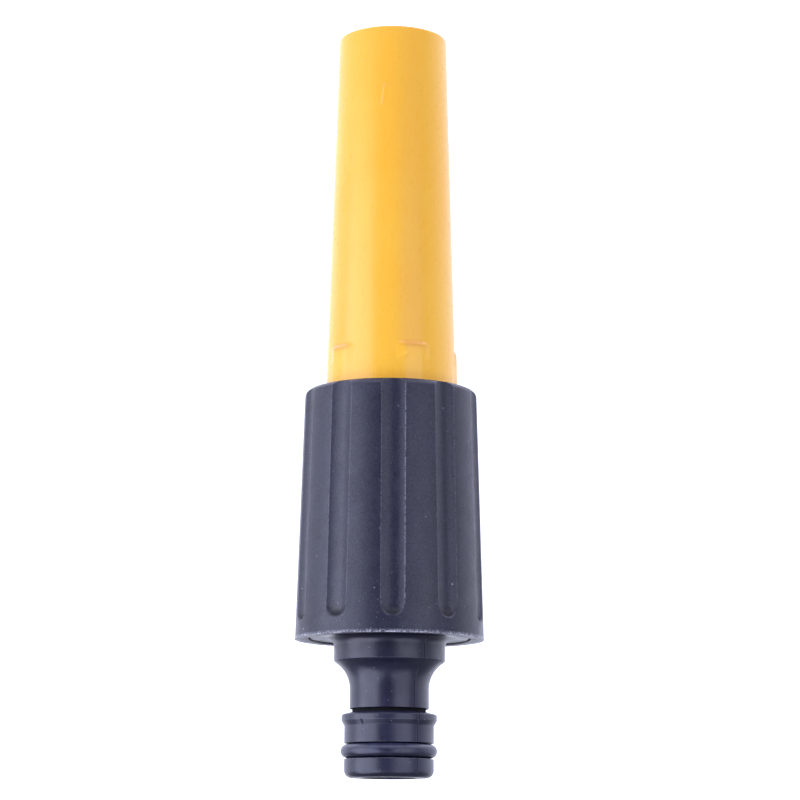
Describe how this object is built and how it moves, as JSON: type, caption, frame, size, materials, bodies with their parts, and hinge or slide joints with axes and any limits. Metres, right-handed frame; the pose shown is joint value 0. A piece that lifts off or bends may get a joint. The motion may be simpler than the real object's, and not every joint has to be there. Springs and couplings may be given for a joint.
{
  "type": "hose spray nozzle",
  "caption": "Twist-adjust hose spray nozzle: fluted grip collar and tapered barrel that screw along a click-on male hose tail to open, narrow or shut the spray.",
  "frame": {"origin": "centre of the hose tail's flat end face, at the bottom of the nozzle", "axes": "+Z along the water passage, from the hose tail up to the outlet; -Y is the front"},
  "size_m": [0.0318, 0.0318, 0.1284],
  "materials": {
    "tail_plastic": "dark blue-grey moulded plastic, smooth satin",
    "grip_plastic": "dark blue-grey moulded plastic, fine spark-eroded matte",
    "barrel_plastic": "warm yellow moulded plastic, satin gloss",
    "inner_plastic": "grey moulded plastic",
    "seal_rubber": "black moulded rubber, slightly greasy sheen"
  },
  "bodies": {
    "tail": {"hose_tail": "tail_plastic", "tail_o_ring": "seal_rubber", "valve_stem": "inner_plastic", "stem_o_ring": "seal_rubber", "barrel_seal": "seal_rubber", "spray_plug": "inner_plastic", "shut_off_ring": "seal_rubber"},
    "stop": {"stop_ring": "inner_plastic"},
    "barrel": {"nozzle_barrel": "barrel_plastic", "grip_collar": "grip_plastic"}
  },
  "joints": [
    {"name": "barrel_travel", "type": "slide", "parent": "tail", "child": "stop", "axis": [0, 0, 1], "range_m": [0, 0.00702]},
    {"name": "barrel_twist", "type": "hinge", "parent": "stop", "child": "barrel", "pos_m": [0, 0, 0.05], "axis": [0, 0, 1], "range_deg": [0, 315]}
  ],
  "couplings": [
    {"joint": "barrel_travel", "follows": "barrel_twist", "m_per_rad": 0.0012732}
  ]
}
